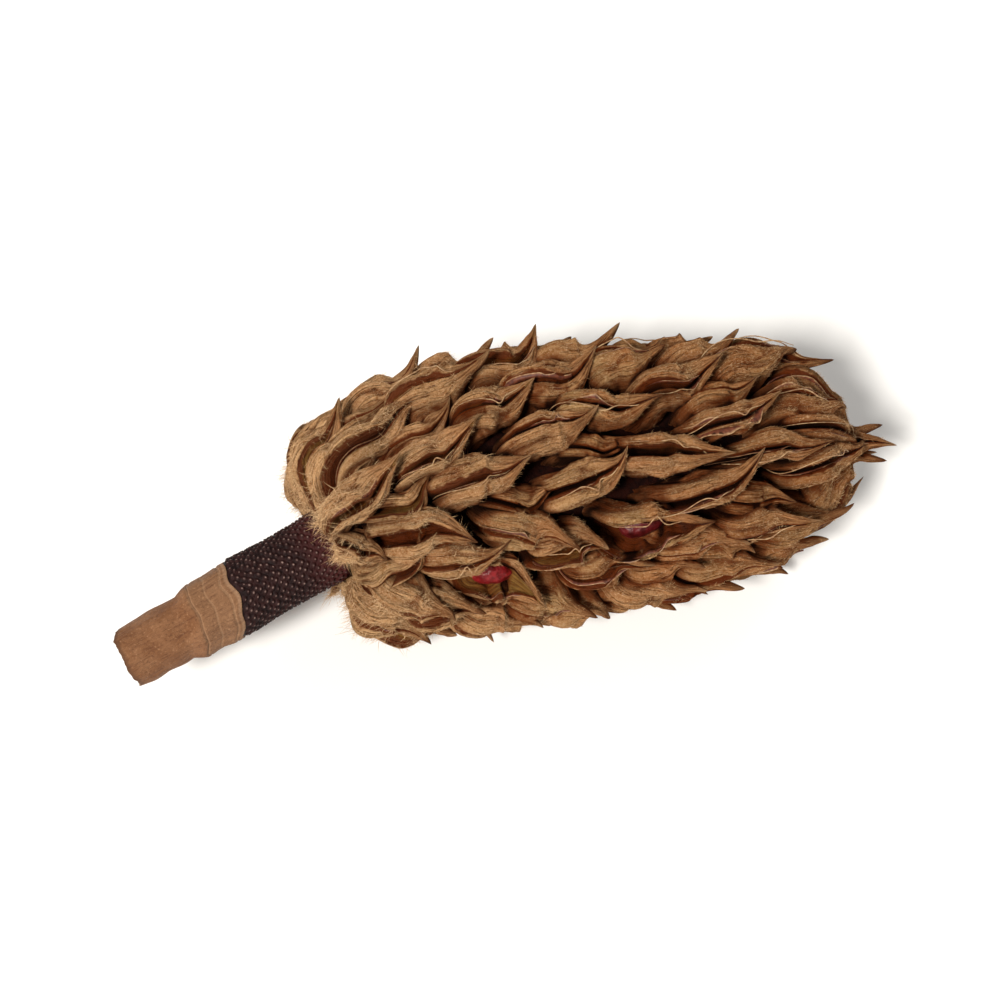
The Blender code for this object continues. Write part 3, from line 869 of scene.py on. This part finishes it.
def make_edges(follicles, material):
    """Thin curling membranes along the slits' lips."""
    draw = random.Random(DETAIL_SEED + 1)
    rows = 26
    levels = ((0.0, -1), (0.55, -1), (1.0, -0.6), (1.0, 0.6), (0.55, 1), (0.0, 1))
    rim = [level for level, _ in levels]
    shape = Shape()
    for follicle in follicles:
        for sign in (1, -1):
            start, end = draw.uniform(0.10, 0.24), draw.uniform(0.62, 0.84)
            tall = draw.uniform(0.30, 0.95) * MM * (1 - 0.5 * follicle.wool)
            curl, phase = draw.uniform(-0.2, 1.1), draw.uniform(0, 50)
            lost = 0.18 + 0.45 * follicle.wool  # chance that a lip has no edge left
            if draw.random() < lost:
                continue
            rings = []
            for i in range(rows):
                t = i / (rows - 1)
                root, across, out = follicle.lip(mix(start, end, t), sign, LIP, 0.02, 0.06)
                wave = noise.noise((t * 5, phase, 0))
                flick = noise.noise((t * 9, phase, 7))
                rise = tall * math.sin(math.pi * clamp(t, 0.03, 0.97)) ** 0.55 * (1 + 0.8 * wave)
                lean = across * (sign * (curl + 1.6 * wave) * 0.6) + out * (1 + 0.3 * flick)
                ring = []
                for level, thick in levels:
                    bend = across * (sign * curl * 0.5 * level * level * rise)
                    thin = across * (thick * sign * 0.035 * MM * (1.2 - level))
                    ring.append(root + lean * (rise * level) + bend + thin)
                rings.append(ring)
            shape.add_tube(np.array(rings), {"rim": rim})
    return shape.make("slit_edges", material)


def make_threads(follicles, material):
    """Edges torn off their lips: fine pale threads that wave clear of the husk."""
    draw = random.Random(DETAIL_SEED + 2)
    shape = Shape()
    rows = 40
    on_top = [f for f in follicles[BARE_OF_THREADS:] if math.sin(f.theta) > 0.15]
    for follicle in draw.sample(on_top, THREADS):
        sign = draw.choice((-1, 1))
        start, end = draw.uniform(0.12, 0.30), draw.uniform(0.66, 0.95)
        arch, phase = draw.uniform(0.4, 1.5) * MM, draw.uniform(0, 50)
        line = []
        for i in range(rows):
            t = i / (rows - 1)
            base, across, out = follicle.lip(mix(start, end, t), sign, RIM)
            free = math.sin(math.pi * t) ** 0.8
            sway = noise.noise((t * 3.2, phase, 0)) * 2.2 * MM
            rise = arch * free * (1 + 0.7 * noise.noise((t * 3, phase, 9)))
            line.append(base + out * rise + across * (sway * free))
        thickness = draw.uniform(0.08, 0.13) * MM
        shape.add_tube(thread(line, thickness), {"rim": 1.0})
    return shape.make("loose_threads", material)


def thread(line, thickness, sides=6):
    """Rings of a tube along a line of points, half as thick at its ends."""
    turns = [math.tau * k / sides for k in range(sides)]
    rings = []
    for i, here in enumerate(line):
        ahead = (line[min(i + 1, len(line) - 1)] - line[max(i - 1, 0)]).normalized()
        side = ahead.cross(Vector((0.3, 0.5, 0.8))).normalized()
        up = ahead.cross(side)
        radius = thickness * (1 - 0.5 * abs(2 * (i / (len(line) - 1)) - 1))
        rings.append([here + (side * math.cos(a) + up * math.sin(a)) * radius for a in turns])
    return np.array(rings)


def painted_shade_core_material():
    paint = Paint("core_painted_shade", 0.95, 0.1)
    grain = paint.noise(paint.where, 0.9, 4.0)
    # near-black painted shade, with a faint grain
    paint.colour = paint.blend(grain, 0.3, 0.7, (0.004, 0.0006, 0.0002), (0.014, 0.0020, 0.0006))
    paint.emboss(grain, 0.0004)
    return paint.finish()


def make_core():
    """The head's central axis, coloured near black as painted shade, showing at the bottom of the gaps
    between husks.
    """
    rows, sides = 40, 48
    rings = []
    for row in range(rows):
        s = mix(JOINT_GAP, CORE_END - 0.0004, row / (rows - 1))
        rings.append([place(s, core_radius(s) * CORE_SKIN, math.tau * i / sides) for i in range(sides)])
    return tube_piece("head_core", rings, {}, painted_shade_core_material())


def hair_material():
    """Felt hairs: tan to straw, darkened with painted shade where they stand between husks."""
    paint = Paint("husk_hairs", 0.8, 0.1)
    spots = paint.noise(paint.where, 0.35, 3.0)
    fine = paint.noise(paint.where, 5.0, 1.0)
    paint.colour = paint.blend(spots, 0.35, 0.65, (0.385, 0.190, 0.076), (0.545, 0.325, 0.155))
    paint.lay(paint.share("wool", 0.8), (0.620, 0.405, 0.215))
    paint.layers(
        (fine, 0.45, 0.62, 0.0, 0.6, (0.720, 0.490, 0.275)),
        (fine, 0.36, 0.44, 0.6, 0.0, (0.200, 0.080, 0.028)),
        # painted shade from the baked occlusion
        (paint.value("deep"), 0.26, 0.62, 0.0, 0.90, (0.058, 0.011, 0.002)),
    )
    return paint.finish()


def skin_of(piece):
    """A husk piece's triangles: corners, normals, areas, and the mean of its stored values."""
    mesh = piece.data
    mesh.calc_loop_triangles()
    corners = np.empty(len(mesh.loop_triangles) * 3, int)
    mesh.loop_triangles.foreach_get("vertices", corners)
    corners = corners.reshape(-1, 3)
    points = np.empty(len(mesh.vertices) * 3)
    mesh.vertices.foreach_get("co", points)
    points = points.reshape(-1, 3)[corners]
    cross = np.cross(points[:, 1] - points[:, 0], points[:, 2] - points[:, 0])
    area = np.linalg.norm(cross, axis=1) / 2
    values = {}
    for name in ("inside", "along", "low", "wool", "deep"):
        stored = np.empty(len(mesh.vertices))
        mesh.attributes[name].data.foreach_get("value", stored)
        values[name] = stored[corners].mean(axis=1)
    return points, cross / np.maximum(area[:, None] * 2, 1e-12), area, values


def scatter(skin, weight, count, draw):
    """Random places on a husk piece: points, normals, and the values stored there."""
    points, normals, area, values = skin
    share = area * weight
    chosen = draw.choice(len(area), count, p=share / share.sum())
    a, b = draw.random((2, count, 1))
    flip = a + b > 1
    a, b = np.where(flip, 1 - a, a), np.where(flip, 1 - b, b)
    corner = points[chosen]
    root = corner[:, 0] + a * (corner[:, 1] - corner[:, 0]) + b * (corner[:, 2] - corner[:, 0])
    return root, normals[chosen], {name: value[chosen][:, None] for name, value in values.items()}


def unit(vectors):
    return vectors / np.maximum(np.linalg.norm(vectors, axis=1, keepdims=True), 1e-12)


def openness(values):
    """How much hair a place carries: none in slits and gaps, least on the beaks."""
    bare = (values["inside"] > 0.22) | (values["low"] > 0.6) | (values["along"] > 0.93)
    open_skin = 1 - np.clip((values["deep"] - 0.30) / 0.45, 0, 1)
    return np.where(bare, 0, open_skin**1.5 * (1 - 0.75 * (values["along"] > 0.74)))


def hair_half(lean, thick, draw):
    """From the middle of each hair's root to its side, square to the way it leans."""
    side = unit(np.cross(lean, draw.normal(0, 1, lean.shape)))
    return side * draw.uniform(*thick, (len(lean), 1)) * MM


def plant(name, hairs, faces, values, material):
    """A piece of hairs from their corners, (hairs, corners, 3), and the faces of one hair."""
    count, corners = hairs.shape[:2]
    hairs[:, :, 2] = np.maximum(hairs[:, :, 2], 0)
    shape = Shape()
    kept = {key: np.repeat(values[key][:, 0], corners) for key in ("wool", "deep")}
    shape.add_points(hairs.reshape(-1, 3), kept)
    for first in range(0, count * corners, corners):
        shape.faces.extend([first + i for i in face] for face in faces)
    return shape.make(name, material, settled=False)


def make_velvet(skin, name, count, seed, material):
    """Short felt hairs over the husks: one narrow blade each, leaning towards the tip."""
    draw = np.random.default_rng(seed)
    root, normal, values = scatter(skin, openness(skin[3]), count, draw)
    ahead = np.array(direction(0.03))
    lean = unit(normal * 0.7 + ahead * 0.80 + draw.normal(0, 0.42, (count, 3)))
    length = draw.uniform(*VELVET_LENGTH, (count, 1)) * MM * (1 + 0.5 * values["wool"])
    half = hair_half(lean, VELVET_HALF, draw)
    sunk = root - normal * VELVET_SUNK * MM
    blade = np.stack((sunk - half, sunk + half, sunk + lean * length), axis=1)
    return plant(name, blade, [(0, 1, 2)], values, material)


def make_wool(skin, name, count, seed, material):
    """Long curved hairs: a thick coat by the collar, thinning out to strays towards the tip."""
    draw = np.random.default_rng(seed)
    coat = openness(skin[3]) * (0.05 + skin[3]["wool"] ** 1.5)
    root, normal, values = scatter(skin, coat, count, draw)
    wool = values["wool"]
    ahead = np.array(direction(0.0))
    joint = np.array(centre(0.0)) + OFFSET
    past = ((root - joint) @ ahead)[:, None]  # distance from the collar's end of the head
    backwards = 1 - np.clip(past / 0.005, 0, 1)
    lean = unit(normal * 0.7 + ahead * (0.5 - 1.5 * backwards) + draw.normal(0, 0.5, (count, 3)))
    length = draw.uniform(*WOOL_LENGTH, (count, 1)) * MM * (1 + 0.3 * wool + 0.6 * backwards)
    curl = unit(draw.normal(0, 1, (count, 3)) - normal * 0.6) * draw.uniform(0.2, 0.7, (count, 1))
    half = hair_half(lean, WOOL_HALF, draw)
    sunk = root - normal * WOOL_SUNK * MM
    levels = (0.0, 0.35, 0.70, 1.0)
    line = [sunk + (lean * level + curl * level**2) * length for level in levels]
    corners = []
    for point, level in zip(line[:3], levels):
        corners += [point + sign * half * (1 - 0.5 * level) for sign in (-1, 1)]
    hair = np.stack((*corners, line[3]), axis=1)
    return plant(name, hair, [(0, 1, 3, 2), (2, 3, 5, 4), (4, 5, 6)], values, material)


def scar_nearness(t, theta, shift):
    """1 in the middle of a stamen's scar, falling to 0 at its edge, round one ring of the collar."""
    nearest = np.zeros_like(theta)
    for row in range(max(1, int(t * SCAR_ROWS) - 1), min(SCAR_ROWS, int(t * SCAR_ROWS) + 3)):
        turn = theta / math.tau * SCARS_ROUND - 0.5 * (row % 2)
        cell = np.floor(turn).astype(int)
        stray = shift[row, cell % SCARS_ROUND]
        across = (turn - cell - 0.5 - 0.13 * stray[:, 0]) * math.tau * COLLAR_RADIUS / SCARS_ROUND
        along = (t * SCAR_ROWS - row - 0.16 * stray[:, 1]) * COLLAR_LENGTH / SCAR_ROWS
        near = 1 - np.hypot(across, along * 1.15) / (SCAR_SPOT * (1 + 0.22 * stray[:, 2]))
        nearest = np.maximum(nearest, near)
    return nearest


def collar_material():
    """Dark purple-brown, redder by the head, with a pale speck on each scar."""
    paint = Paint("stamen_scars", 0.62, 0.15)
    grime = paint.noise(paint.where, 0.8, 3.0)
    near = paint.value("near")
    paint.colour = paint.blend(grime, 0.35, 0.65, (0.0085, 0.0022, 0.0021), (0.023, 0.0068, 0.0060))
    speck = paint.blend(grime, 0.3, 0.7, (0.080, 0.044, 0.038), (0.260, 0.170, 0.145))
    paint.layers(
        (paint.value("t"), 0.55, 1.0, 0.0, 0.80, (0.065, 0.0125, 0.0115)),
        (near, 0.10, 0.45, 0.0, 0.5, (0.030, 0.0120, 0.0105)),
        (near, 0.58, 0.82, 0.0, 0.95, speck),
    )
    paint.emboss(paint.noise(paint.where, 3.5, 3.0), 0.00012)
    return paint.finish()


def make_collar():
    """Dark collar with its net of small raised scars."""
    rows, sides = 150, 208
    bare, lumps = 0.08 * MM, 0.10 * MM  # height of the skin between the scars, and its unevenness
    dot, dimple = 0.36, 0.06  # height of a scar and depth of its middle, in millimetres
    shift = np.random.default_rng(DETAIL_SEED + 3).uniform(-1, 1, (SCAR_ROWS, SCARS_ROUND, 3))
    theta = np.arange(sides) * math.tau / sides
    rings, nearness = [], []
    for row in range(rows + 1):
        t = row / rows
        near = scar_nearness(t, theta, shift)
        shaft = COLLAR_RADIUS * (1 - COLLAR_WAIST * math.sin(math.pi * t)) - SCAR_HEIGHT
        rise = np.clip(near / 0.55, 0, 1) ** 0.7 * dot * MM
        rise = rise - np.clip((near - 0.7) / 0.3, 0, 1) * dimple * MM
        ring = []
        for angle, up in zip(theta, rise):
            lump = lumps * noise.noise((math.cos(angle) * 3, math.sin(angle) * 3, t * 9))
            ring.append(place(mix(collar_edge(angle), -JOINT_GAP, t), shaft + bare + up + lump, angle))
        rings.append(ring)
        nearness.append(near)
    values = {"near": np.array(nearness), "t": np.linspace(0, 1, rows + 1)[:, None]}
    piece = tube_piece("scar_collar", rings, values, collar_material())
    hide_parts("stamen_scar_collar")
    return piece


def wood_material():
    """Tan-brown bark with fine grain, darker in the ring scars and on the cut end."""
    paint = Paint("stem_bark", 0.72, 0.3)
    patches = paint.noise(paint.where, 0.35, 3.0)
    grain = paint.noise(paint.grain(0.30, 3.2), 1.0, 5.0, 0.7)
    specks = paint.noise(paint.where, 2.4, 4.0, 0.7)
    t, groove, cap = paint.value("t"), paint.value("groove"), paint.value("cap")
    paint.colour = paint.blend(patches, 0.35, 0.65, (0.190, 0.076, 0.028), (0.245, 0.110, 0.047))
    wood = paint.blend(specks, 0.35, 0.65, (0.16, 0.075, 0.034), (0.38, 0.235, 0.125))
    pith = (0.075, 0.034, 0.018)
    paint.layers(
        (t, 0.60, 0.70, 0.0, 0.55, (0.230, 0.120, 0.058)),
        (grain, 0.28, 0.50, 0.75, 0.0, (0.090, 0.029, 0.011)),
        (grain, 0.58, 0.78, 0.0, 0.45, (0.400, 0.215, 0.105)),
        (specks, 0.54, 0.68, 0.0, 0.65, (0.095, 0.036, 0.016)),
        (specks, 0.30, 0.44, 0.55, 0.0, (0.440, 0.245, 0.125)),
        (groove, 0.05, 0.30, 0.0, 0.28, (0.430, 0.260, 0.145)),
        (groove, 0.55, 0.95, 0.0, 0.55, (0.105, 0.042, 0.020)),
        (t, 0.970, 0.99, 0.0, 0.35, (0.440, 0.270, 0.160)),
        (t, 0.010, 0.045, 0.70, 0.0, (0.085, 0.034, 0.015)),
        (cap, 0.02, 0.12, 0.0, 1.0, paint.blend(cap, 0.70, 0.95, wood, pith)),
    )
    paint.emboss(grain, 0.00035)
    paint.emboss(specks, 0.00012)
    return paint.finish()


def make_stem():
    """Woody stalk with its node, ring scars, grain and rough slanted cut end."""
    rows, sides = 110, 96
    turns = [math.tau * i / sides for i in range(sides)]

    def swell(angle, at, spread):
        return math.exp(-((math.remainder(angle - math.radians(at), math.tau) / spread) ** 2))

    splinter = [SPLINTER * swell(a, SPLINTER_AT, 0.22) for a in turns]
    bulge = [CUT_BULGE * swell(a, CUT_BULGE_AT, 0.75) for a in turns]
    cut_out = [a + b for a, b in zip(splinter, bulge)]
    rings, caps, grooves, lengths = [], [], [], []

    def skin_ring(t):
        ring, groove_ring = [], []
        for angle, longer in zip(turns, cut_out):
            turn = Vector((math.cos(angle), math.sin(angle), 0))
            wander = 0.020 * noise.noise(turn * 1.5 + Vector((0, 0, t * 2)))
            groove = max(depth * math.exp(-(((t + wander - at) / 0.009) ** 2)) for at, depth in RING_SCARS)
            lump = 0.22 * noise.noise(turn * 1.2 + Vector((0, 0, t * 6)))
            strand = 0.13 * noise.noise(turn * 9 + Vector((0, 0, t * 4 + 30)))
            frayed = 0.35 * noise.noise(turn * 5 + Vector((0, 0, 60))) * MM
            extra = (lump + strand) * MM - groove * RING_SCAR_DEPTH + LIP_FLARE * ease((t - 0.80) / 0.18)
            ring.append(stem_place(t, angle, extra, longer + frayed))
            groove_ring.append(groove)
        return ring, groove_ring

    rim, _ = skin_ring(0.0)
    middle = sum(rim, Vector()) / sides
    ahead = direction(-COLLAR_LENGTH - STEM_LENGTH)
    for share in (0.06, 0.22, 0.38, 0.54, 0.70, 0.84, 0.94):
        ring = []
        for point in rim:
            at = middle.lerp(point, share)
            rough = noise.noise(at * 900) * 0.45 + noise.noise(at * 2600) * 0.25
            ring.append(at + ahead * (rough * MM * (1 - share**4)))
        rings.append(ring)
        caps.append(1 - share * 0.9)
        grooves.append([0.0] * sides)
        lengths.append(-4 * (1 - share))
    for row in range(rows + 1):
        t = row / rows * STEM_REACH
        ring, groove_ring = skin_ring(t)
        rings.append(ring)
        caps.append(0.0)
        grooves.append(groove_ring)
        lengths.append(t * STEM_LENGTH / MM)
    round_mm = np.array(turns) * STEM_RADIUS / MM
    length_mm = np.array(lengths)[:, None]
    values = {
        "cap": np.array(caps)[:, None],
        "groove": np.array(grooves),
        "length_mm": length_mm,
        "round_mm": np.abs(round_mm - round_mm.max() / 2),
        "t": np.clip(length_mm * MM / STEM_LENGTH, 0, 1),
        "tone": 0.5,
    }
    piece = tube_piece("stem_wood", rings, values, wood_material())
    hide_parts("woody_stem")
    return piece


def seed_material():
    """Wrinkled red seed coat, one seed brighter than the other."""
    paint = Paint("seed_coat", 0.3, 0.35)
    blotch = paint.noise(paint.where, 0.9, 3.0)
    bright = paint.blend(blotch, 0.35, 0.65, (0.120, 0.0040, 0.0050), (0.240, 0.0110, 0.0130))
    dark = paint.blend(blotch, 0.35, 0.65, (0.045, 0.0030, 0.0030), (0.110, 0.0070, 0.0080))
    paint.colour = paint.mix(paint.value("tone"), bright, dark)
    paint.emboss(paint.noise(paint.where, 1.1, 3.0), 0.00030)
    return paint.finish(paint.span(blotch, 0.3, 0.7, 0.30, 0.46))


def make_seeds(holders):
    """Shrunken seeds lying in the two open follicles."""
    material = seed_material()
    rows, sides = 36, 48
    for number, holder in enumerate(holders, 1):
        here, across, out = holder.frame(SEED_AT)
        along = out.cross(across)
        middle = here + out * (SEED_SINK * holder.height)
        rings = []
        for row in range(rows):
            phi = math.pi * (row + 0.5) / rows
            x = -math.cos(phi)
            pinch = 1 - 0.18 * x
            ring = []
            for k in range(sides):
                y = math.sin(phi) * math.cos(math.tau * k / sides)
                z = math.sin(phi) * math.sin(math.tau * k / sides)
                at = Vector((x, y, z + number * 9))
                swell = 1 + 0.10 * noise.noise(at * 1.7) + 0.06 * noise.noise(at * 4.5)
                offset = along * (x * SEED_SIZE.x) + across * (y * SEED_SIZE.y * pinch)
                ring.append(middle + (offset + out * (z * SEED_SIZE.z * pinch)) * swell)
            rings.append(ring)
        values = {"tone": float(number - 1)}
        piece = tube_piece(f"red_seed_{number}", rings, values, material)
        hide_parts(f"seed_{number}")


def put(name, data, location, towards):
    """Adds a light or a camera at this place, looking this way."""
    thing = bpy.data.objects.new(name, data)
    thing.location = location
    thing.rotation_mode = "QUATERNION"
    thing.rotation_quaternion = towards.to_track_quat("-Z", "Y")
    bpy.context.scene.collection.objects.link(thing)
    return thing


def make_scene_light():
    """Soft daylight from the front left above, on a plain pale floor."""
    world = bpy.data.worlds.new("soft_room")
    bpy.context.scene.world = world
    world.use_nodes = True
    background = world.node_tree.nodes["Background"]
    background.inputs["Color"].default_value = ROOM_COLOUR
    background.inputs["Strength"].default_value = ROOM_LIGHT
    for name, location, size, power in LIGHTS:
        light = bpy.data.lights.new(name, "AREA")
        light.size = size
        light.energy = power
        light.color = LIGHT_COLOUR
        put(name, light, location, -Vector(location))


def make_floor():
    bpy.ops.mesh.primitive_grid_add(x_subdivisions=8, y_subdivisions=8, size=FLOOR_SIZE)
    floor = bpy.context.object
    floor.name = "floor"
    paint = Paint("floor_white", 0.9)
    speck = paint.noise(paint.where, 0.02, 2.0)
    paint.colour = paint.blend(speck, 0.3, 0.7, (0.90, 0.895, 0.885), (0.93, 0.925, 0.915))
    floor.data.materials.append(paint.finish())


def make_camera():
    """Looks down on the pod at the photograph's angle."""
    level = math.cos(CAMERA_ELEVATION)
    sideways, away = math.sin(CAMERA_AZIMUTH) * level, -math.cos(CAMERA_AZIMUTH) * level
    back = Vector((sideways, away, math.sin(CAMERA_ELEVATION)))
    view = bpy.data.cameras.new("camera")
    view.lens = CAMERA_LENS
    view.clip_start, view.clip_end = 0.01, 20
    bpy.context.scene.camera = put("camera", view, CAMERA_TARGET + back * CAMERA_DISTANCE, -back)


def main():
    bpy.context.scene.view_settings.view_transform = "Standard"
    follicles = grow_follicles()
    holders = seed_holders(follicles)
    husks = make_husks(follicles, felt_material())
    make_core()
    make_collar()
    make_stem()
    make_seeds(holders)
    papery = edge_material()
    make_edges(follicles, papery)
    make_threads(follicles, papery)
    hairs = hair_material()
    for number, piece in enumerate(husks[:2], 1):
        make_velvet(skin_of(piece), f"felt_hairs_{number}", VELVET_HAIRS, number, hairs)
    make_wool(skin_of(husks[0]), "woolly_hairs", WOOL_HAIRS, 3, hairs)
    make_floor()
    make_scene_light()
    make_camera()


main()
